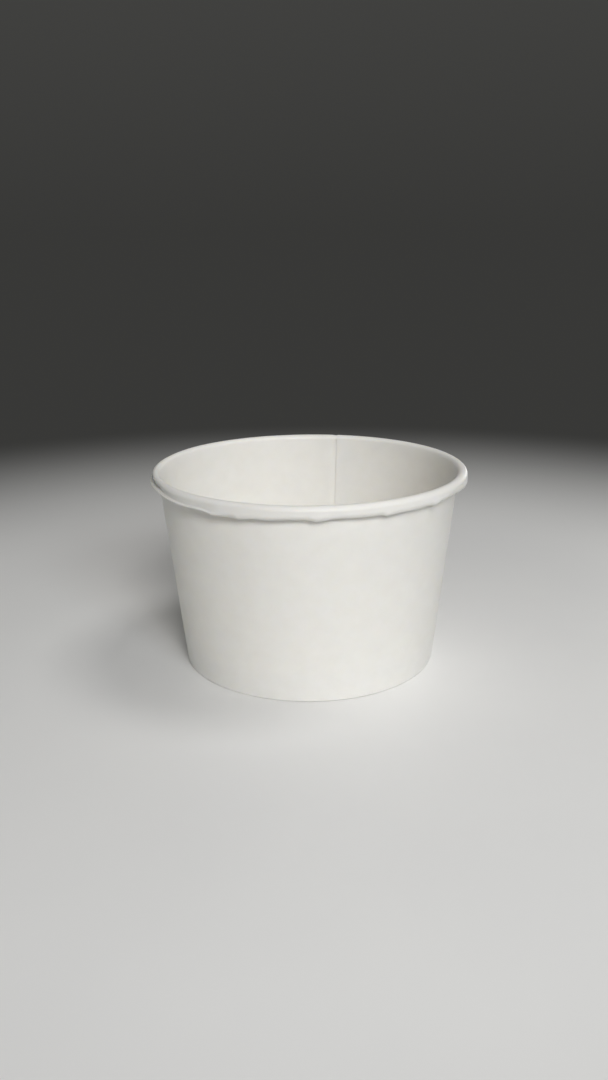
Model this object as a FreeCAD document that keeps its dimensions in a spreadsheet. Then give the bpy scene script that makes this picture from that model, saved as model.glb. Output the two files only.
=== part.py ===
import FreeCAD, Part
import math
import os
import Sketcher

# Paper sundae cup: one board wrapped to a cone, lapped on itself, hemmed round the skirt of
# a base disc and rolled outward at the mouth. Origin: centre of the foot, +Z up.

doc = FreeCAD.newDocument("SundaeCup")

# Driving sizes, in millimetres and degrees
SIZES = {
    "rim_diameter": 95.0,
    "base_diameter": 77.0,
    "cup_height": 59.5,
    "board": 0.4,
    "roll_width": 3.1,
    "roll_height": 3.7,
    "lid_land": 0.4,
    "edge_gap": 0.15,
    "kinks": 15,
    "kink_depth": 0.5,
    "kink_angle": 3.0,
    "neck": 0.5,
    "crease": 0.3,
    "base_board": 0.3,
    "base_lift": 8.5,
    "bend": 0.6,
    "seal_gap": 0.02,
    "skirt_clearance": 0.4,
    "hem_clearance": 1.3,
    "lap_width": 7.0,
    "lap_ramp": 2.4,
    "seam_angle": 77.3,
}

sheet = doc.addObject("Spreadsheet::Sheet", "Sizes")
for row, (alias, number) in enumerate(SIZES.items(), start=1):
    sheet.set(f"A{row}", alias)
    sheet.set(f"B{row}", str(number))
    sheet.setAlias(f"B{row}", alias)
doc.recompute()

# Expressions that several features share
ROLL_RADIUS = "Sizes.roll_width / 2"
ROLL_CENTRE_X = "(Sizes.rim_diameter - Sizes.roll_width) / 2"
ROLL_CENTRE_Z = "Sizes.cup_height - Sizes.roll_width / 2"
NECK_Z = f"{ROLL_CENTRE_Z} - Sizes.neck"
POCKET = "Sizes.base_board + 2 * Sizes.seal_gap"
HEM_TOP = "Sizes.base_lift - Sizes.hem_clearance"
RAMP_ANGLE = "Sizes.lap_ramp / Sizes.rim_diameter * 360 / pi"
LAP_ANGLE = "Sizes.lap_width / Sizes.rim_diameter * 360 / pi"


def value(expression):
    """The number that an expression on the sheet gives."""
    return float(sheet.evalExpression(expression))


def point(x, y):
    return FreeCAD.Vector(x, y, 0)


# The wall's slope: its outer face runs from the foot's corner to touch the roll's inside
roll_radius = value(ROLL_RADIUS)
roll_centre = point(value(ROLL_CENTRE_X), value(ROLL_CENTRE_Z))
foot_corner = point(sheet.base_diameter / 2, 0)
to_roll = roll_centre - foot_corner
TAPER = math.atan2(to_roll.x, to_roll.y) - math.asin((roll_radius - sheet.board) / to_roll.Length)
UP_WALL = point(math.sin(TAPER), math.cos(TAPER))
OFF_WALL = point(math.cos(TAPER), -math.sin(TAPER))


def on_slope(offset, height):
    """The point at this height on a line parallel to the wall's outer face, offset outward."""
    start = foot_corner + OFF_WALL * offset
    return start + UP_WALL * ((height - start.y) / UP_WALL.y)


class Profile:
    """A sketch on the body's XZ plane (x out from the axis, y up) with bound sizes."""

    def __init__(self, body, name, turn=None):
        self.sketch = body.newObject("Sketcher::SketchObject", name)
        plane = next(item for item in body.Origin.OriginFeatures if item.Role == "XZ_Plane")
        self.sketch.AttachmentSupport = [(plane, "")]
        self.sketch.MapMode = "FlatFace"
        if turn:
            about_axis = FreeCAD.Rotation(FreeCAD.Vector(0, 1, 0), value(turn))
            self.sketch.AttachmentOffset = FreeCAD.Placement(FreeCAD.Vector(), about_axis)
            self.sketch.setExpression("AttachmentOffset.Rotation.Angle", turn)
        self.slope = self.wall_face()

    def rule(self, kind, *where):
        self.sketch.addConstraint(Sketcher.Constraint(kind, *where))

    def size(self, name, expression, kind, *where):
        number = self.sketch.addConstraint(Sketcher.Constraint(kind, *where, value(expression)))
        self.sketch.renameConstraint(number, name)
        self.sketch.setExpression(f"Constraints.{name}", expression)

    def wall_face(self):
        """Construction line of the wall's outer face, tangent to the inside of the roll."""
        circle = Part.Circle(roll_centre, FreeCAD.Vector(0, 0, 1), roll_radius - sheet.board)
        roll = self.sketch.addGeometry(circle, True)
        line = Part.LineSegment(foot_corner, on_slope(0, roll_centre.y))
        slope = self.sketch.addGeometry(line, True)
        self.size("roll_centre_x", ROLL_CENTRE_X, "DistanceX", -1, 1, roll, 3)
        self.size("roll_centre_z", ROLL_CENTRE_Z, "DistanceY", -1, 1, roll, 3)
        self.size("roll_inside", f"{ROLL_RADIUS} - Sizes.board", "Radius", roll)
        self.size("foot_radius", "Sizes.base_diameter / 2", "DistanceX", -1, 1, slope, 1)
        self.rule("PointOnObject", slope, 1, -1)
        self.rule("Tangent", slope, roll)
        self.rule("Horizontal", slope, 2, roll, 3)
        return slope

    def outline(self, corners):
        """A closed run of straight lines through the corners, joined end to end."""
        runs = zip(corners, corners[1:] + corners[:1])
        lines = [self.sketch.addGeometry(Part.LineSegment(*run)) for run in runs]
        for line, following in zip(lines, lines[1:] + lines[:1]):
            self.rule("Coincident", line, 2, following, 1)
        return lines

    def along_wall(self, name, line, expression):
        """Hold a line parallel to the wall's outer face, this far from it."""
        self.rule("Parallel", line, self.slope)
        self.size(name, expression, "Distance", line, 1, self.slope)

    def level(self, name, line, end, expression):
        """Hold a line flat, with its end at a height above the foot."""
        self.rule("Horizontal", line)
        self.size(name, expression, "DistanceY", -1, 1, line, end)


def wall_section(body, name, near, far, turn=None):
    """Section of wall, foot and hem between two faces, counted in boards from the inside."""
    profile = Profile(body, name, turn)
    board = sheet.board
    pocket = value(POCKET)
    inside = (near - 1) * board
    outside = (far - 1) * board
    hem_near = -pocket - (near + 1) * board
    hem_far = -pocket - (far + 1) * board
    foot_out = on_slope(outside, sheet.crease) - point(sheet.crease, sheet.crease)
    foot_in = on_slope(hem_far, sheet.crease) + point(sheet.crease, -sheet.crease)
    corners = [
        on_slope(inside, value(NECK_Z)),
        on_slope(outside, value(NECK_Z)),
        on_slope(outside, sheet.crease),
        foot_out,
        foot_in,
        on_slope(hem_far, sheet.crease),
        on_slope(hem_far, value(HEM_TOP)),
        on_slope(hem_near, value(HEM_TOP)),
        on_slope(hem_near, board),
        on_slope(inside, board),
    ]
    neck, side, out_crease, foot, in_crease, hem, hem_edge, hem_back, fold, lining = (
        profile.outline(corners))
    profile.level("neck", neck, 1, NECK_Z)
    profile.level("hem_top", hem_edge, 1, HEM_TOP)
    profile.level("fold_level", fold, 1, "Sizes.board")
    profile.rule("Horizontal", foot)
    profile.rule("PointOnObject", foot, 1, -1)
    profile.size("out_crease_height", "Sizes.crease", "DistanceY", -1, 1, out_crease, 1)
    profile.size("out_crease_width", "Sizes.crease", "DistanceX", out_crease, 2, out_crease, 1)
    profile.size("in_crease_height", "Sizes.crease", "DistanceY", -1, 1, in_crease, 2)
    profile.size("in_crease_width", "Sizes.crease", "DistanceX", in_crease, 2, in_crease, 1)
    for label, line, boards in (("lining", lining, near - 1), ("side", side, far - 1)):
        if boards:
            profile.along_wall(label, line, "Sizes.board")
        else:
            profile.rule("Parallel", line, profile.slope)
            profile.rule("PointOnObject", line, 1, profile.slope)
    profile.along_wall("hem_back", hem_back, f"{POCKET} + {near + 1} * Sizes.board")
    profile.along_wall("hem", hem, f"{POCKET} + {far + 1} * Sizes.board")
    return profile.sketch


def revolve(body, name, sketch, expression, reverse=False):
    """Turn a section about the cup's axis by the angle of an expression."""
    feature = body.newObject("PartDesign::Revolution", name)
    feature.Profile = (sketch, [""])
    feature.ReferenceAxis = (sketch, ["V_Axis"])
    feature.Reversed = reverse
    feature.setExpression("Angle", expression)
    doc.recompute()


# Wall and hem: one layer most of the way round, a ramp that climbs over the blank's inner
# edge, and two layers along the lap
wall = doc.addObject("PartDesign::Body", "WallAndHem")
single = wall_section(wall, "SingleSection", 0, 1, RAMP_ANGLE)
lifted = wall_section(wall, "LiftedSection", 1, 2)
lapped = wall_section(wall, "LappedSection", 0, 2)
revolve(wall, "Wrap", single, f"360 - {RAMP_ANGLE} - {LAP_ANGLE}")
ramp = wall.newObject("PartDesign::AdditiveLoft", "Ramp")
ramp.Profile = (single, [""])
ramp.Sections = [(lifted, [""])]
ramp.Ruled = True
doc.recompute()
revolve(wall, "Lap", lapped, LAP_ANGLE, True)


# Rolled rim: the board's upper edge curled outward and down, hollow, with its free edge
# short of the wall. A round land at its widest takes a lid. Below it the curl buckles: it
# sinks slowly to each kink and springs back quickly after it, all the way round. The steps
# are the flats that each half of a face takes, outside and inside the curl.
OUTER_STEPS = (6, 5)
INNER_STEPS = (4, 4)
KINK_PITCH = 2 * math.pi / round(sheet.kinks)
KINK_START = 2 / 3
KINK_END = 7 / 8
KINK_STATIONS = (0, 1 / 3, KINK_START, KINK_END)
LEAST_SPACING = KINK_PITCH / 24
low_centre = roll_centre - point(0, sheet.roll_height - sheet.roll_width)
front_angle = math.radians(-90 - sheet.seam_angle)
first_kink = front_angle + math.radians(sheet.kink_angle) - KINK_START * KINK_PITCH


def kink_drop(angle):
    """How far the curl's lower half hangs below its round form at an angle."""
    share = (angle - first_kink) / KINK_PITCH % 1
    if share < KINK_START:
        return sheet.kink_depth * share / KINK_START
    return sheet.kink_depth * max(0, (KINK_END - share) / (KINK_END - KINK_START))


def roll_arc(centre, layers, start, end, steps):
    """Points of one face of the curl on an arc round a centre."""
    radius = roll_radius - layers * sheet.board
    angles = [start + (end - start) * step / steps for step in range(steps + 1)]
    return [centre + point(math.cos(angle), math.sin(angle)) * radius for angle in angles]


def roll_section(near, far):
    """Corners of the rim's section from the neck over the top and back; True where kinked."""
    touch = math.pi - TAPER
    wall_gap = (low_centre - on_slope(0, low_centre.y)).dot(OFF_WALL)
    reach = wall_gap - (far - 1) * sheet.board - sheet.edge_gap
    curl_end = -math.pi - TAPER + math.acos(reach / roll_radius)
    over_top = roll_arc(roll_centre, near, touch, 0, OUTER_STEPS[0])
    land_end = over_top[-1] - point(0, sheet.lid_land)
    down = roll_arc(low_centre, near, 0, curl_end, OUTER_STEPS[1])
    back_up = roll_arc(low_centre, far, curl_end, 0, INNER_STEPS[1])
    back_over = roll_arc(roll_centre, far, 0, touch, INNER_STEPS[0])
    neck_near = on_slope((near - 1) * sheet.board, value(NECK_Z))
    neck_far = on_slope((far - 1) * sheet.board, value(NECK_Z))
    corners = [(spot, False) for spot in [neck_near] + over_top + [land_end]]
    corners += [(spot, True) for spot in down + back_up]
    corners += [(spot, False) for spot in back_over + [neck_far]]
    return corners


def around(spot, kinked, angle):
    """A corner of the rim's section, turned to an angle round the cup."""
    height = spot.y - (kink_drop(angle) if kinked else 0)
    return FreeCAD.Vector(spot.x * math.cos(angle), spot.x * math.sin(angle), height)


def rib(spot, kinked, start, end):
    """The path of one corner of the section round the cup, from start to end."""
    if not kinked:
        level = FreeCAD.Vector(0, 0, spot.y)
        upright = FreeCAD.Vector(0, 0, 1)
        return Part.makeCircle(spot.x, level, upright, math.degrees(start), math.degrees(end))
    first = math.floor((start - first_kink) / KINK_PITCH)
    last = math.ceil((end - first_kink) / KINK_PITCH)
    stations = [first_kink + KINK_PITCH * (turn + share)
                for turn in range(first, last) for share in KINK_STATIONS]
    inner = [angle for angle in stations if start + LEAST_SPACING < angle < end - LEAST_SPACING]
    curve = Part.BSplineCurve()
    curve.interpolate([around(spot, True, angle) for angle in [start] + inner + [end]])
    return curve.toShape()


def rim_sector(name, ribs, ends):
    """A closed solid between two sections, skinned with ruled strips from rib to rib."""
    skin = Part.makeLoft([Part.Wire(edge) for edge in ribs], False, True, True)
    caps = [Part.Face(Part.makePolygon(corners + corners[:1])) for corners in ends]
    shell = Part.makeShell(skin.Faces + caps)
    shell.sewShape()
    sector = doc.addObject("Part::Feature", name)
    sector.Shape = Part.makeSolid(Part.Shell(shell.Faces))
    return sector


def round_sector(name, near, far, start, end):
    section = roll_section(near, far)
    ribs = [rib(spot, kinked, start, end) for spot, kinked in section]
    ends = [[around(spot, kinked, angle) for spot, kinked in section] for angle in (start, end)]
    return rim_sector(name, ribs, ends)


ramp_angle = math.radians(value(RAMP_ANGLE))
lap_angle = math.radians(value(LAP_ANGLE))
low_side = [around(spot, kinked, ramp_angle) for spot, kinked in roll_section(0, 1)]
high_side = [around(spot, kinked, 0) for spot, kinked in roll_section(1, 2)]
rim = [
    round_sector("RimWrap", 0, 1, ramp_angle, 2 * math.pi - lap_angle),
    rim_sector("RimRamp", [Part.makeLine(*ends) for ends in zip(high_side, low_side)],
               [high_side, low_side]),
    round_sector("RimLap", 0, 2, -lap_angle, 0),
]

# Side wall: wall, hem and rim as the one piece of board that they are
side_wall = doc.addObject("Part::MultiFuse", "SideWall")
side_wall.Label = "side_wall"
side_wall.Shapes = [wall] + rim
for section in side_wall.Shapes:
    section.Placement.Rotation = FreeCAD.Rotation(FreeCAD.Vector(0, 0, 1), sheet.seam_angle)
    section.setExpression("Placement.Rotation.Angle", "Sizes.seam_angle")
doc.recompute()


# Base disc: a flat round of thinner board, its edge turned down into the hem's pocket
base_disc = doc.addObject("PartDesign::Body", "BaseDisc")
base_disc.Label = "base_disc"
disc = Profile(base_disc, "DiscSection")
seal = -sheet.board - sheet.seal_gap
skirt_foot = sheet.board + sheet.skirt_clearance
disc_top = sheet.base_lift + sheet.base_board
bend_out = on_slope(seal, disc_top - sheet.bend)
bend_in = on_slope(seal - sheet.base_board, sheet.base_lift - sheet.bend)
corners = [
    point(0, disc_top),
    point(bend_out.x - sheet.bend, disc_top),
    bend_out,
    on_slope(seal, skirt_foot),
    on_slope(seal - sheet.base_board, skirt_foot),
    bend_in,
    point(bend_in.x - sheet.bend, sheet.base_lift),
    point(0, sheet.base_lift),
]
top, over_bend, skirt, skirt_edge, skirt_back, under_bend, under, middle = disc.outline(corners)
disc.level("disc_top", top, 1, "Sizes.base_lift + Sizes.base_board")
disc.level("lift", under, 1, "Sizes.base_lift")
disc.level("skirt_foot", skirt_edge, 1, "Sizes.board + Sizes.skirt_clearance")
disc.along_wall("skirt", skirt, "Sizes.board + Sizes.seal_gap")
disc.along_wall("skirt_back", skirt_back, "Sizes.board + Sizes.seal_gap + Sizes.base_board")
disc.rule("PointOnObject", top, 1, -2)
disc.rule("PointOnObject", under, 2, -2)
disc.size("over_bend_width", "Sizes.bend", "DistanceX", over_bend, 1, over_bend, 2)
disc.size("over_bend_height", "Sizes.bend", "DistanceY", over_bend, 2, over_bend, 1)
disc.size("under_bend_width", "Sizes.bend", "DistanceX", under_bend, 2, under_bend, 1)
disc.size("under_bend_height", "Sizes.bend", "DistanceY", under_bend, 1, under_bend, 2)
revolve(base_disc, "Disc", disc.sketch, "360")


for item in doc.Objects:
    if "Invalid" in item.State or "Error" in item.State:
        raise RuntimeError(f"{item.Name} failed: {item.State}")
pieces = (side_wall, base_disc)
for piece in pieces:
    if piece.Shape.isNull() or not piece.Shape.isValid() or len(piece.Shape.Solids) != 1:
        raise RuntimeError(f"{piece.Label} is not one valid solid")
os.makedirs("parts", exist_ok=True)
for piece in pieces:
    piece.Shape.exportStep(f"parts/{piece.Label}.step")
    print(piece.Label, round(piece.Shape.Volume, 1), "mm3,", len(piece.Shape.Faces), "faces")
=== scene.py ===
import math
import random

import bmesh
import bpy
from mathutils import Matrix, Vector


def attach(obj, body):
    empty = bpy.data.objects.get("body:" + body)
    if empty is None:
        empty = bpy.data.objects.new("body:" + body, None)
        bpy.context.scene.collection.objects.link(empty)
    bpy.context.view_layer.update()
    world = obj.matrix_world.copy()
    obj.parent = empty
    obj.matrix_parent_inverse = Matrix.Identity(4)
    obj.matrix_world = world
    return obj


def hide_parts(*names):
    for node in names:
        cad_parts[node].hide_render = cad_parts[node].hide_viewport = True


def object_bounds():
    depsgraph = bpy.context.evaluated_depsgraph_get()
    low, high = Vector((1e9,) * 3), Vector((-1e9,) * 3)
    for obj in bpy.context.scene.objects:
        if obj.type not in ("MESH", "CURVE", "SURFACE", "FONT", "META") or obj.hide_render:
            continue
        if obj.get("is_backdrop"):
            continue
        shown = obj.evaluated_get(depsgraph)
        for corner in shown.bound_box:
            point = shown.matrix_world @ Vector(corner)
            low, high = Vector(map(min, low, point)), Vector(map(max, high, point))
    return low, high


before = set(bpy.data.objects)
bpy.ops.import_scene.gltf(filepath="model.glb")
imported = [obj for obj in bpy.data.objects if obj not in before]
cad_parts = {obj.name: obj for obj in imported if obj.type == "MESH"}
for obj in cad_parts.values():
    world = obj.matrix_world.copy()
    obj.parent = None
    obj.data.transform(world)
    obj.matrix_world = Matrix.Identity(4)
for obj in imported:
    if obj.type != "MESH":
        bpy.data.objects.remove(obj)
cad_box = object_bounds()


# Side wall: one fan-shaped blank of food board with a satin coating on both faces. It is wrapped
# to a cone and heat-sealed to itself along a lapped seam; its lower edge is folded in and up as
# a hem, and its upper edge is rolled outward as the rim. One sheet makes wall, hem and rim.

# Sizes are in mm and angles in degrees, here and in the base disc's section
MM = 0.001
BOARD = 0.40
CUP_HEIGHT = 59.5
FOOT_RADIUS = 38.5

# The roll is a little taller than it is wide: its lower half turns about a lower centre, and it
# curls on past the bottom to the end of the curl, an angle below the horizontal
ROLL_RADIUS = 1.55
ROLL_CENTRE = (45.95, 57.95)
ROLL_LOW_CENTRE_Z = 57.35
CURL_END = -139.6

# The pocket between wall and hem takes the skirt of the base disc
POCKET = 0.34
HEM_TOP = 7.2
FOLD_RADIUS = 0.10

# The blank starts at the seam's angle and runs once round and on over itself by the lap. Before
# and after the lap the sheet climbs from one layer to the other along a ramp.
SEAM_ANGLE = 77.3
SEAM_LAP = 8.44
SEAM_RAMP = 2.9
SEAL_GAP = 0.004
WALL_COLUMNS = 350

# The wall leans out so that its outer face runs from the foot to touch the inside of the roll
to_roll = (ROLL_CENTRE[0] - FOOT_RADIUS, ROLL_CENTRE[1])
TAPER = math.atan2(*to_roll) - math.asin((ROLL_RADIUS - BOARD) / math.hypot(*to_roll))


def smooth(share):
    """From 0 to 1 with a soft start and a soft end."""
    share = min(1.0, max(0.0, share))
    return share * share * (3 - 2 * share)


def mix(a, b, share):
    return a + (b - a) * share


def on_slope(offset, height):
    """(r, z) at a height on a line along the wall, offset outward from its outer face."""
    base_r = FOOT_RADIUS + offset * math.cos(TAPER)
    base_z = -offset * math.sin(TAPER)
    return base_r + (height - base_z) * math.tan(TAPER), height


def arc(centre, radius, start, end, steps):
    """Points on an arc in the section plane."""
    turns = [math.radians(mix(start, end, step / steps)) for step in range(steps + 1)]
    return [(centre[0] + radius * math.cos(t), centre[1] + radius * math.sin(t)) for t in turns]


def straight(start, end, steps):
    """Points on a straight line, without its first one."""
    return [(mix(start[0], end[0], k / steps), mix(start[1], end[1], k / steps))
            for k in range(1, steps + 1)]


def spline(knots, count):
    """Evenly spaced points on a smooth line through the knots."""
    fine = []
    padded = [knots[0]] + knots + [knots[-1]]
    for a, b, c, d in zip(padded, padded[1:], padded[2:], padded[3:]):
        for step in range(24):
            t = step / 24
            fine.append(tuple(0.5 * (2 * q + (r - p) * t + (2 * p - 5 * q + 4 * r - s) * t * t
                                     + (3 * q - p - 3 * r + s) * t ** 3)
                              for p, q, r, s in zip(a, b, c, d)))
    fine.append(knots[-1])
    lengths = [0.0]
    for a, b in zip(fine, fine[1:]):
        lengths.append(lengths[-1] + math.dist(a, b))
    points = []
    place = 0
    for k in range(count):
        want = lengths[-1] * k / (count - 1)
        while place < len(fine) - 2 and lengths[place + 1] < want:
            place += 1
        share = (want - lengths[place]) / max(1e-9, lengths[place + 1] - lengths[place])
        points.append(tuple(mix(p, q, share) for p, q in zip(fine[place], fine[place + 1])))
    return points


# Where the wall meets the roll, and the roll's way from there over its top to its outermost side
TOUCH = 180 - math.degrees(TAPER)
over_roll = arc(ROLL_CENTRE, ROLL_RADIUS, TOUCH, 0, 40)
roll_start = over_roll[0]

# Lower part of the section, on the board's bowl side: down the hem, round the fold, up the wall
hem_line = -POCKET - BOARD
fold_in = on_slope(hem_line, BOARD + FOLD_RADIUS)
fold_out = on_slope(-BOARD, BOARD + FOLD_RADIUS)
lower_run = [on_slope(hem_line, HEM_TOP)]
lower_run += straight(lower_run[0], fold_in, 5)
lower_run += arc((fold_in[0] + FOLD_RADIUS, fold_in[1]), FOLD_RADIUS, 180, 270, 6)[1:]
lower_run += arc((fold_out[0] - FOLD_RADIUS, fold_out[1]), FOLD_RADIUS, 270, 360, 6)
lower_run += straight(lower_run[-1], roll_start, 16)
HEM_ROWS = 5
FOLD_ROWS = 18
WALL_ROWS = len(lower_run) - 1

# Upper part: the roll where it came out round, and where it was pinched at the left. There the
# curl has closed up to a smaller bead over a groove, and its lower edge stands out as a narrow
# lip, which runs on a little past the groove and then sinks into the round roll.
ROLL_ROWS = 59
round_roll = over_roll + straight(over_roll[-1],
                                  (ROLL_CENTRE[0] + ROLL_RADIUS, ROLL_LOW_CENTRE_Z), 4)
round_roll += arc((ROLL_CENTRE[0], ROLL_LOW_CENTRE_Z), ROLL_RADIUS, 0, CURL_END, 34)[1:]
round_roll = spline(round_roll, ROLL_ROWS)
pinched_roll = spline([roll_start, (44.6, 58.75), (44.95, 59.22), (45.5, 59.5), (46.1, 59.32),
                       (46.5, 58.85), (46.48, 58.3), (46.18, 57.8), (45.94, 57.4),
                       (46.05, 57.14), (46.5, 57.06), (47.0, 57.02), (47.27, 56.88),
                       (47.22, 56.66), (46.85, 56.45), (46.4, 56.3), (45.9, 56.22),
                       (45.4, 56.2), (45.05, 56.3), (44.85, 56.52)], ROLL_ROWS)
lipped_roll = spline([roll_start, (44.62, 58.78), (45.1, 59.3), (45.85, 59.5), (46.6, 59.28),
                      (47.12, 58.75), (47.28, 58.15), (47.2, 57.6), (47.08, 57.22),
                      (47.14, 57.0), (47.34, 56.9), (47.58, 56.78), (47.66, 56.6),
                      (47.45, 56.36), (46.95, 56.17), (46.4, 56.08), (45.9, 56.05),
                      (45.4, 56.1), (45.05, 56.28), (44.85, 56.52)], ROLL_ROWS)

# The roll buckles below: the curl sinks to each kink and springs back after it, and it splays out
# by a share of what it sinks. Each pair is an angle round from the front and how far the curl
# hangs there. These are the kinks that the photograph shows.
SPLAY = 0.35
seen_kinks = [(-110, 0.10), (-80, 0.0), (-67, 0.0), (-60, 0.12), (-50, 0.30), (-44, 0.36),
              (-41, 0.20), (-36, 0.34), (-32.7, 0.82), (-28, 0.54), (-25, 0.52), (-23.4, 0.86),
              (-20, 0.42), (-18, 0.30), (-14, 0.42), (-9.8, 0.27), (-7, 0.10), (-2, 0.06),
              (-0.2, 0.03), (1.0, 0.32), (2.4, 0.57), (3.6, 0.43), (4.9, 0.29), (6.3, 0.13),
              (7.9, -0.03), (14, 0.0), (19, 0.12), (23, 0.0), (24.6, 0.08), (25.8, 0.52),
              (27.4, 0.38), (31, 0.16), (37, 0.22), (41, 0.12), (44.5, 0.12), (47.2, 0.62),
              (49.5, 0.12), (52, 0.20), (55, -0.10), (62, 0.0)]
FIRST_KINK = seen_kinks[0][0]

# Round the back of the cup the kinks are alike, about one in every 24 degrees
BACK_KINKS = 10
BACK_START = 51.0
BACK_END = 240
KINK_PITCH = 24.0
dice = random.Random(11)
kinks = list(seen_kinks)
for turn in range(1, BACK_KINKS + 1):
    place = BACK_START + KINK_PITCH * turn + dice.uniform(-2, 2)
    if place < BACK_END:
        hang = dice.uniform(0.35, 0.5)
        kinks += [(place, hang), (place + dice.uniform(3, 5), dice.uniform(-0.05, 0.08))]
kinks.sort()


def hang_at(front):
    """How far the curl's lower half hangs at an angle round from the front."""
    front = (front - FIRST_KINK) % 360 + FIRST_KINK
    ring = [(kinks[-1][0] - 360, kinks[-1][1])] + kinks + [(kinks[0][0] + 360, kinks[0][1])]
    for (a, low), (b, high) in zip(ring, ring[1:]):
        if a <= front < b:
            return mix(low, high, (front - a) / (b - a))
    return 0.0


KINK_ROUNDING = 0.45


def rounded_hang(front):
    """The same, with the sharp turns at the kinks rounded."""
    beside = hang_at(front - KINK_ROUNDING) + hang_at(front + KINK_ROUNDING)
    return (beside + 2 * hang_at(front)) / 4


# The pinched stretch of the roll: where it starts, where its lip ends and where its groove ends,
# each with the angle over which it comes or goes
PINCH_START, PINCH_COMES = -132, 26
LIP_END, LIP_GOES = -24, 18
GROOVE_END, GROOVE_GOES = -46, 24


def pinch_at(front):
    """How far the roll is lipped, and how far that lip has a groove over it, from 0 to 1."""
    front = (front + 180) % 360 - 180
    start = smooth((front - PINCH_START) / PINCH_COMES)
    lipped = start * smooth((LIP_END - front) / LIP_GOES)
    grooved = start * smooth((GROOVE_END - front) / GROOVE_GOES)
    return lipped, grooved


def wander(front, height):
    """How far the wall stands off a true cone: paper is never quite round."""
    turn = math.radians(front)
    share = (height / CUP_HEIGHT) ** 1.5
    return share * (0.05 * math.sin(3 * turn + 0.8) + 0.03 * math.sin(5 * turn + 2.1))


# Where the lap runs up over the roll, its edge is pressed thin over its last 2.5 degrees
PRESSED_BOARD = 0.15
PRESSED_RUN = 2.5


def layer_depths(row, turn):
    """Depths of the sheet's two faces below the bowl-side line, at a row and a turn along it."""
    fold = 1.0 if HEM_ROWS < row <= FOLD_ROWS else 0.0
    rim = smooth((row - WALL_ROWS + 3) / 5)
    pressed = mix(PRESSED_BOARD, BOARD, smooth(turn % 360 / PRESSED_RUN))
    inner_layer = mix(mix(BOARD, pressed, rim), BOARD / 2, fold)
    if turn <= SEAM_LAP:
        return 0.0, inner_layer
    if turn <= SEAM_LAP + SEAM_RAMP:
        ramp = smooth((turn - SEAM_LAP) / SEAM_RAMP)
        return 0.0, mix(inner_layer, BOARD, ramp) if fold else BOARD
    if turn < 360 - SEAM_RAMP:
        return 0.0, BOARD
    lift = smooth((turn - 360 + SEAM_RAMP) / SEAM_RAMP)
    if turn < 360:
        inner_layer = mix(mix(BOARD, PRESSED_BOARD, rim), BOARD / 2, fold)
    near = lift * (inner_layer + SEAL_GAP)
    return near, near + (mix(BOARD, BOARD / 2, lift) - SEAL_GAP * lift if fold else BOARD)


def section(front):
    """The bowl-side line of the board at an angle round from the front. At a kink only the part
    of the roll beyond its top hangs, and the more the lower it lies."""
    lipped, grooved = pinch_at(front)
    hang = rounded_hang(front)
    line = list(lower_run)
    for k in range(1, ROLL_ROWS):
        r, z = (mix(a, mix(b, c, grooved), lipped)
                for a, b, c in zip(round_roll[k], lipped_roll[k], pinched_roll[k]))
        if k > ROLL_ROWS / 3:
            low = smooth((ROLL_CENTRE[1] - z + 0.1) / 0.9)
            r, z = r + SPLAY * hang * low, z - hang * low
        line.append((r, z))
    return [(r + wander(front, z), z) for r, z in line]


# Turns along the blank at which the section is drawn: even steps, and more beside a deep kink
DEEP_KINK = 0.33
BESIDE_KINK = (-1.3, -0.75, -0.4, -0.12, 0.12, 0.4, 0.75, 1.3)
turns = {(360 + SEAM_LAP) * index / WALL_COLUMNS for index in range(WALL_COLUMNS + 1)}
for place, hang in kinks:
    if hang > DEEP_KINK:
        at_kink = (SEAM_ANGLE + 90 - place) % 360
        turns |= {at_kink + step for step in BESIDE_KINK}
turns = sorted(turn for turn in turns if 0 <= turn <= 360 + SEAM_LAP)

columns = []
path = [0.0]
for index, turn in enumerate(turns):
    polar = SEAM_ANGLE - turn
    line = section(polar + 90)
    if index == 0:
        for a, b in zip(line, line[1:]):
            path.append(path[-1] + math.dist(a, b))
    near_face = []
    far_face = []
    for row, (r, z) in enumerate(line):
        before, after = line[max(row - 1, 0)], line[min(row + 1, len(line) - 1)]
        run = math.dist(before, after)
        off_r, off_z = (after[1] - before[1]) / run, -(after[0] - before[0]) / run
        near, far = layer_depths(row, turn)
        near_face.append((r + off_r * near, z + off_z * near))
        far_face.append((r + off_r * far, z + off_z * far))
    columns.append((math.radians(polar), near_face + far_face[::-1]))

rows = len(path)
ring = 2 * rows
vertices = [(r * math.cos(t) * MM, r * math.sin(t) * MM, z * MM)
            for t, loop in columns for r, z in loop]
MEAN_RADIUS = 42.0


def blank_uv(index, step):
    """Place on the flat blank, in metres: along the wrap, and from the hem's edge upward."""
    row = step % ring
    row = row if row < rows else ring - 1 - row
    return math.radians(turns[index]) * MEAN_RADIUS * MM, path[row] * MM


faces = []
face_cut = []
face_uv = []
for index in range(len(turns) - 1):
    for step in range(ring):
        after = (step + 1) % ring
        corners = ((index, step), (index + 1, step), (index + 1, after), (index, after))
        faces.append([i * ring + s for i, s in corners])
        face_uv.append([blank_uv(i, s) for i, s in corners])
        face_cut.append(step in (rows - 1, ring - 1))
for index, flip in ((0, False), (len(turns) - 1, True)):
    for row in range(rows - 1):
        steps = [row, row + 1, ring - 2 - row, ring - 1 - row]
        steps = steps[::-1] if flip else steps
        faces.append([index * ring + s for s in steps])
        face_uv.append([blank_uv(index, s) for s in steps])
        face_cut.append(True)


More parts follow.
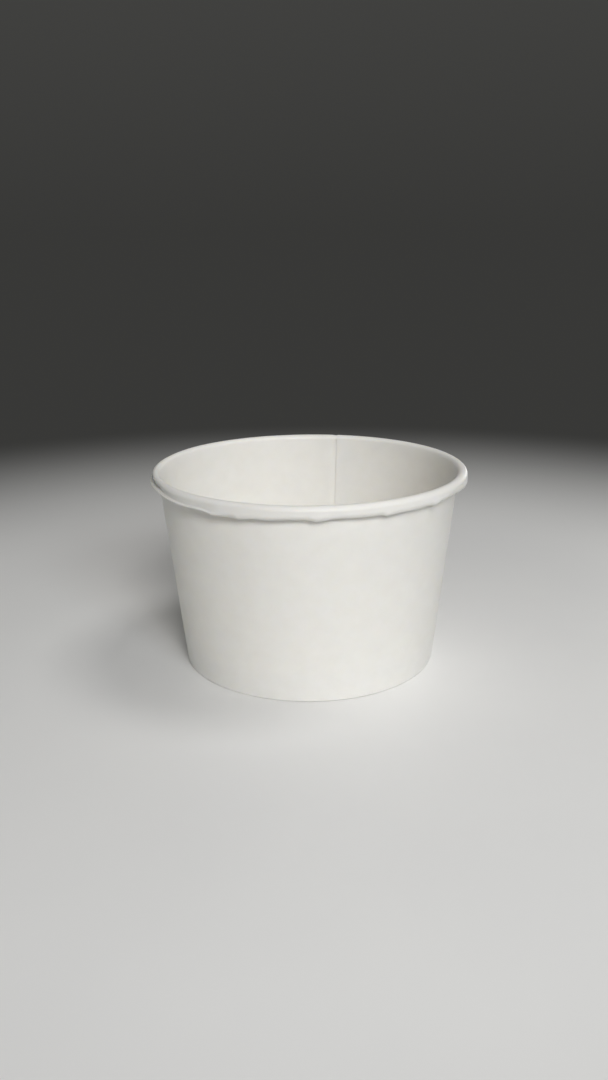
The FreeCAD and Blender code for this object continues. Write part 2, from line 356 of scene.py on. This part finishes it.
def board_mesh(name, vertices, faces, face_uv, face_cut):
    """A smooth mesh of board with crisp corners along its cut edges."""
    mesh = bpy.data.meshes.new(name)
    mesh.from_pydata(vertices, [], faces)
    uv = mesh.uv_layers.new(name="blank")
    uv.data.foreach_set("uv", [c for corners in face_uv for place in corners for c in place])
    mesh.polygons.foreach_set("material_index", [int(cut) for cut in face_cut])
    work = bmesh.new()
    work.from_mesh(mesh)
    bmesh.ops.recalc_face_normals(work, faces=work.faces)
    for face in work.faces:
        face.smooth = True
    for edge in work.edges:
        edge.smooth = len({face.material_index for face in edge.link_faces}) == 1
    work.to_mesh(mesh)
    work.free()
    piece = bpy.data.objects.new(name, mesh)
    bpy.context.scene.collection.objects.link(piece)
    return piece


def node(tree, kind, *in_order, **named):
    """A shader node. Sockets are given in order or by name, and another node's output is linked
    to its socket; a name in small letters is a setting of the node itself."""
    made = tree.nodes.new(kind)
    sockets = list(zip(made.inputs, in_order))
    for name, value in named.items():
        if name[0].isupper():
            sockets.append((made.inputs[name.replace("_", " ")], value))
        else:
            setattr(made, name, value)
    for socket, value in sockets:
        if isinstance(value, bpy.types.NodeSocket):
            tree.links.new(value, socket)
        else:
            socket.default_value = value
    return made


def two_tones(tree, driver, first, first_colour, second, second_colour):
    """A colour that runs from one to another while the driving value goes from first to second."""
    made = node(tree, "ShaderNodeValToRGB", Fac=driver)
    stops = made.color_ramp.elements
    stops[0].position = first
    stops[0].color = (*first_colour, 1)
    stops[1].position = second
    stops[1].color = (*second_colour, 1)
    return made.outputs["Color"]


def fresh_material(name):
    material = bpy.data.materials.new(name)
    material.use_nodes = True
    material.node_tree.nodes.clear()
    return material, material.node_tree


# The hem carries fine upright ribs from the wheel that pressed it. They fade out between the
# first two heights up the blank and between the last two.
RIB_PITCH = 1.5
RIB_HEIGHTS = (1.2, 1.9, 5.2, 5.9)
PALE_BOARD = (0.892, 0.877, 0.838)
DULL_BOARD = (0.862, 0.845, 0.800)
RAW_BOARD = (0.62, 0.58, 0.50)
RAW_FIBRE = (0.80, 0.77, 0.71)


def pressed_ribs(tree, blank, under):
    """The surface's normal with the hem's ribs pressed over the one under it."""
    place = node(tree, "ShaderNodeSeparateXYZ", Vector=blank.outputs["UV"])
    along = node(tree, "ShaderNodeMath", place.outputs["X"], math.tau / (RIB_PITCH * MM),
                 operation="MULTIPLY")
    ribs = node(tree, "ShaderNodeMath", along.outputs["Value"], operation="SINE")
    above = node(tree, "ShaderNodeMapRange", Value=place.outputs["Y"],
                 From_Min=RIB_HEIGHTS[0] * MM, From_Max=RIB_HEIGHTS[1] * MM)
    below = node(tree, "ShaderNodeMapRange", Value=place.outputs["Y"],
                 From_Min=RIB_HEIGHTS[3] * MM, From_Max=RIB_HEIGHTS[2] * MM)
    band = node(tree, "ShaderNodeMath", below.outputs["Result"], above.outputs["Result"],
                operation="MULTIPLY")
    press = node(tree, "ShaderNodeMath", ribs.outputs["Value"], band.outputs["Value"],
                 operation="MULTIPLY")
    return node(tree, "ShaderNodeBump", Height=press.outputs["Value"], Strength=0.8,
                Distance=0.00006, Normal=under.outputs["Normal"])


def coated_board(name, roughness, ribbed):
    """Food board: felted fibres under a thin satin coat, with a faint cloudy formation."""
    material, tree = fresh_material(name)
    blank = node(tree, "ShaderNodeUVMap", uv_map="blank")
    cloud = node(tree, "ShaderNodeTexNoise", Vector=blank.outputs["UV"], Scale=210.0, Detail=3.0)
    grain = node(tree, "ShaderNodeMapping", Vector=blank.outputs["UV"], Scale=(1.0, 0.35, 1.0))
    fibre = node(tree, "ShaderNodeTexNoise", Vector=grain.outputs["Vector"], Scale=3600.0,
                 Detail=4.0, Roughness=0.6)
    fleck = node(tree, "ShaderNodeTexNoise", Vector=blank.outputs["UV"], Scale=1100.0, Detail=2.0)
    tone = node(tree, "ShaderNodeMath", fibre.outputs["Fac"], 0.35, cloud.outputs["Fac"],
                operation="MULTIPLY_ADD")
    shade = two_tones(tree, tone.outputs["Value"], 0.40, DULL_BOARD, 0.95, PALE_BOARD)
    gloss = node(tree, "ShaderNodeMapRange", Value=fleck.outputs["Fac"],
                 To_Min=roughness - 0.05, To_Max=roughness + 0.06)
    rough = node(tree, "ShaderNodeBump", Height=fibre.outputs["Fac"], Strength=0.35,
                 Distance=0.00003)
    felt = node(tree, "ShaderNodeBump", Height=cloud.outputs["Fac"], Strength=0.30,
                Distance=0.00018, Normal=rough.outputs["Normal"])
    normal = pressed_ribs(tree, blank, felt) if ribbed else felt
    surface = node(tree, "ShaderNodeBsdfPrincipled", Base_Color=shade,
                   Roughness=gloss.outputs["Result"], Normal=normal.outputs["Normal"],
                   Specular_IOR_Level=0.35, Coat_Weight=0.12, Coat_Roughness=0.42,
                   Subsurface_Weight=0.25, Subsurface_Radius=(1.0, 0.85, 0.60),
                   Subsurface_Scale=0.0006)
    node(tree, "ShaderNodeOutputMaterial", Surface=surface.outputs["BSDF"])
    return material


def cut_board(name):
    """The raw edge of the board where a knife cut it: warmer, rougher, layered fibres."""
    material, tree = fresh_material(name)
    where = node(tree, "ShaderNodeTexCoord")
    fibre = node(tree, "ShaderNodeTexNoise", Vector=where.outputs["Object"], Scale=7000.0,
                 Detail=3.0)
    shade = two_tones(tree, fibre.outputs["Fac"], 0.3, RAW_BOARD, 0.7, RAW_FIBRE)
    rough = node(tree, "ShaderNodeBump", Height=fibre.outputs["Fac"], Strength=0.6,
                 Distance=0.00005)
    surface = node(tree, "ShaderNodeBsdfPrincipled", Base_Color=shade, Roughness=0.85,
                   Normal=rough.outputs["Normal"], Specular_IOR_Level=0.2)
    node(tree, "ShaderNodeOutputMaterial", Surface=surface.outputs["BSDF"])
    return material


side_wall = board_mesh("wrapped_side_wall", vertices, faces, face_uv, face_cut)
cut_edge = cut_board("cut_board_edge")
side_wall.data.materials.append(coated_board("coated_wall_board", 0.52, ribbed=True))
side_wall.data.materials.append(cut_edge)
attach(side_wall, "root")
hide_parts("side_wall")


# Base disc: a round of thinner coated board, its edge drawn down into a skirt that stands
# between the wall and the hem and is sealed to both. It holds the filling clear of the foot.
DISC_BOARD = 0.30
DISC_TOP = 8.8
DISC_BEND = 0.6
DISC_COLUMNS = 180
SKIRT_GAP = 0.02
SKIRT_FOOT = 0.8
DISH_RADIUS = 36.5
DISH_DEPTH = 0.10

skirt_line = -BOARD - SKIRT_GAP
bend_end = on_slope(skirt_line, DISC_TOP - DISC_BEND)
top_line = [(DISC_BEND * 2 + (bend_end[0] - DISC_BEND * 3) * (k / 16) ** 0.8, DISC_TOP)
            for k in range(17)]
top_line += arc((bend_end[0] - DISC_BEND, DISC_TOP - DISC_BEND), DISC_BEND, 90, 0, 8)[1:]
top_line += straight(top_line[-1], on_slope(skirt_line, SKIRT_FOOT), 8)
under_line = []
for row, (r, z) in enumerate(top_line):
    before, after = top_line[max(row - 1, 0)], top_line[min(row + 1, len(top_line) - 1)]
    run = math.dist(before, after)
    under_line.append((r - (before[1] - after[1]) / run * DISC_BOARD,
                       z - (after[0] - before[0]) / run * DISC_BOARD))
disc_ring = top_line + under_line[::-1]


def dish(r, turn):
    """Slight sinking and waviness of the flat round, pinned at its edge."""
    share = smooth((DISH_RADIUS - r) / 9)
    return share * (-DISH_DEPTH + 0.04 * math.sin(2 * turn + 0.6) * r / 36)


disc_middle = DISC_TOP - DISH_DEPTH
disc_vertices = [(0, 0, disc_middle * MM), (0, 0, (disc_middle - DISC_BOARD) * MM)]
for index in range(DISC_COLUMNS):
    t = math.tau * index / DISC_COLUMNS
    disc_vertices += [(r * math.cos(t) * MM, r * math.sin(t) * MM, (z + dish(r, t)) * MM)
                      for r, z in disc_ring]
loop = len(disc_ring)
disc_faces = []
disc_cut = []
for index in range(DISC_COLUMNS):
    here, there = 2 + index * loop, 2 + (index + 1) % DISC_COLUMNS * loop
    for row in range(loop - 1):
        disc_faces.append([here + row, here + row + 1, there + row + 1, there + row])
        disc_cut.append(row == len(top_line) - 1)
    disc_faces += [[0, here, there], [1, there + loop - 1, here + loop - 1]]
    disc_cut += [False, False]
disc_uv = [[disc_vertices[corner][:2] for corner in face] for face in disc_faces]
base_disc = board_mesh("drawn_base_disc", disc_vertices, disc_faces, disc_uv, disc_cut)
base_disc.data.materials.append(coated_board("coated_base_board", 0.48, ribbed=False))
base_disc.data.materials.append(cut_edge)
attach(base_disc, "root")
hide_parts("base_disc")


# Floor: pale and matt round the cup, with painted light falloff far out. There it darkens into a
# dim grey glow the colour of the room, which stands in for light falling off away from the cup. It
# is staging only and isn't part of the cup. It lies a hair below the foot. Sizes are in metres.
FLOOR_RINGS = (0.12, 0.25, 0.4, 0.6, 1.0, 1.8, 3.0)
FLOOR_SPOKES = 96
FLOOR_DROP = 0.00003
# Between these distances the floor's painted light falloff runs from lit pale board to dim grey
# glow
FALLOFF_START = 0.14
FALLOFF_END = 0.38
FLOOR_DULL = (0.82, 0.82, 0.815)
FLOOR_PALE = (0.84, 0.84, 0.83)
ROOM_GREY = (0.040, 0.040, 0.038)

floor_mesh = bpy.data.meshes.new("studio_floor")
floor_work = bmesh.new()
hub = floor_work.verts.new((0, 0, 0))
last = None
for radius in FLOOR_RINGS:
    row = [floor_work.verts.new((radius * math.cos(math.tau * k / FLOOR_SPOKES),
                                 radius * math.sin(math.tau * k / FLOOR_SPOKES), 0))
           for k in range(FLOOR_SPOKES)]
    for k in range(FLOOR_SPOKES):
        after = (k + 1) % FLOOR_SPOKES
        if last is None:
            floor_work.faces.new((hub, row[k], row[after]))
        else:
            floor_work.faces.new((last[k], row[k], row[after], last[after]))
    last = row
floor_work.to_mesh(floor_mesh)
floor_work.free()
floor = bpy.data.objects.new("studio_floor", floor_mesh)
bpy.context.scene.collection.objects.link(floor)
floor.location.z = -FLOOR_DROP

pale_floor, tree = fresh_material("pale_floor")
where = node(tree, "ShaderNodeTexCoord")
far_out = node(tree, "ShaderNodeVectorMath", where.outputs["Object"], operation="LENGTH")
# Painted light falloff: past its start the lamp-lit floor gives way to a glowing dark grey
fade = node(tree, "ShaderNodeMapRange", Value=far_out.outputs["Value"], From_Min=FALLOFF_START,
            From_Max=FALLOFF_END, interpolation_type="SMOOTHSTEP")
cloudy = node(tree, "ShaderNodeTexNoise", Vector=where.outputs["Object"], Scale=14.0, Detail=3.0)
tints = two_tones(tree, cloudy.outputs["Fac"], 0.3, FLOOR_DULL, 0.7, FLOOR_PALE)
speck = node(tree, "ShaderNodeTexNoise", Vector=where.outputs["Object"], Scale=900.0, Detail=3.0)
fine = node(tree, "ShaderNodeBump", Height=speck.outputs["Fac"], Strength=0.1, Distance=0.00005)
near_floor = node(tree, "ShaderNodeBsdfPrincipled", Base_Color=tints, Roughness=0.5,
                  Normal=fine.outputs["Normal"], Specular_IOR_Level=0.3)
# Painted shade: the far floor is a dim glow of room grey in place of lit floor
painted_dark_floor = node(tree, "ShaderNodeEmission", Color=(*ROOM_GREY, 1), Strength=1.0)
fading = node(tree, "ShaderNodeMixShader", fade.outputs["Result"], near_floor.outputs["BSDF"],
              painted_dark_floor.outputs["Emission"])
node(tree, "ShaderNodeOutputMaterial", Surface=fading.outputs["Shader"])
floor_mesh.materials.append(pale_floor)
floor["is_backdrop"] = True


# Studio light: two soft lamps at the front right, which light the wall as in the photograph, a
# high one that reaches into the bowl, weak ones low at the left and behind, and a dim room.
LAMP_AIM = Vector((0, 0, 0.03))


def soft_lamp(name, round_from_front, elevation, distance, size, watts, colour):
    """A square lamp that looks at the cup from an angle round from the front, to the right."""
    data = bpy.data.lights.new(name, "AREA")
    data.size = size
    data.energy = watts
    data.color = colour
    lamp = bpy.data.objects.new(name, data)
    bpy.context.scene.collection.objects.link(lamp)
    turn, rise = math.radians(round_from_front), math.radians(elevation)
    back = Vector((math.sin(turn) * math.cos(rise), -math.cos(turn) * math.cos(rise),
                   math.sin(rise)))
    lamp.location = LAMP_AIM + back * distance
    lamp.rotation_mode = "QUATERNION"
    lamp.rotation_quaternion = back.to_track_quat("Z", "Y")


soft_lamp("key_lamp", 26, 28, 1.1, 0.30, 2.9, (0.91, 0.955, 1.0))
soft_lamp("front_lamp", 9, 35, 1.1, 0.30, 6.0, (1.0, 0.98, 0.96))
soft_lamp("bowl_lamp", 95, 68, 1.2, 0.4, 3.3, (1.0, 0.99, 0.97))
soft_lamp("low_left_fill", -112, 3, 1.2, 0.16, 1.25, (0.93, 1.0, 0.99))
soft_lamp("low_back_fill", 150, 3, 1.2, 0.16, 1.6, (1.0, 0.99, 0.97))
soft_lamp("back_fill", 172, 38, 1.3, 0.8, 0.45, (1.0, 0.99, 0.97))

# The room lights the cup evenly and dimly, and the camera sees it as a plain grey backdrop
ROOM_HIGH_GREY = (0.062, 0.062, 0.059)
world = bpy.data.worlds.new("grey_room")
bpy.context.scene.world = world
world.use_nodes = True
tree = world.node_tree
tree.nodes.clear()
even = node(tree, "ShaderNodeBackground", Color=(1.0, 0.98, 0.93, 1), Strength=0.03)
facing = node(tree, "ShaderNodeTexCoord")
height = node(tree, "ShaderNodeSeparateXYZ", Vector=facing.outputs["Generated"])
gloom = two_tones(tree, height.outputs["Z"], 0.0, ROOM_GREY, 0.35, ROOM_HIGH_GREY)
backdrop = node(tree, "ShaderNodeBackground", Color=gloom, Strength=1.0)
ray = node(tree, "ShaderNodeLightPath")
seen = node(tree, "ShaderNodeMath", ray.outputs["Is Camera Ray"],
            ray.outputs["Is Transmission Ray"], operation="MAXIMUM")
room = node(tree, "ShaderNodeMixShader", seen.outputs["Value"], even.outputs["Background"],
            backdrop.outputs["Background"])
node(tree, "ShaderNodeOutputWorld", Surface=room.outputs["Shader"])


# Camera: where the photograph was taken from, worked out from the mouth, the foot and the walls.
# Its place is in metres, and it is turned by a yaw, a pitch and a roll in radians.
CAMERA_PLACE = Vector((0.0, -0.28985, 0.12730))
CAMERA_YAW = -0.0052
CAMERA_PITCH = 0.3058
CAMERA_ROLL = -0.0089
camera_data = bpy.data.cameras.new("photo_camera")
camera_data.sensor_width = 36.0
camera_data.lens = 32.85
camera_data.clip_start = 0.01
camera_data.clip_end = 20.0
ahead = Vector((math.sin(CAMERA_YAW) * math.cos(CAMERA_PITCH),
                math.cos(CAMERA_YAW) * math.cos(CAMERA_PITCH), -math.sin(CAMERA_PITCH)))
level = Vector((math.cos(CAMERA_YAW), -math.sin(CAMERA_YAW), 0))
upright = level.cross(ahead)
side = level * math.cos(CAMERA_ROLL) + upright * math.sin(CAMERA_ROLL)
top_way = upright * math.cos(CAMERA_ROLL) - level * math.sin(CAMERA_ROLL)
camera = bpy.data.objects.new("photo_camera", camera_data)
bpy.context.scene.collection.objects.link(camera)
camera.matrix_world = Matrix.Translation(CAMERA_PLACE) @ Matrix(
    (side, top_way, -ahead)).transposed().to_4x4()
bpy.context.scene.camera = camera

bpy.context.scene.view_settings.view_transform = "Standard"

corners = {"cad": cad_box, "visual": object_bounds()}
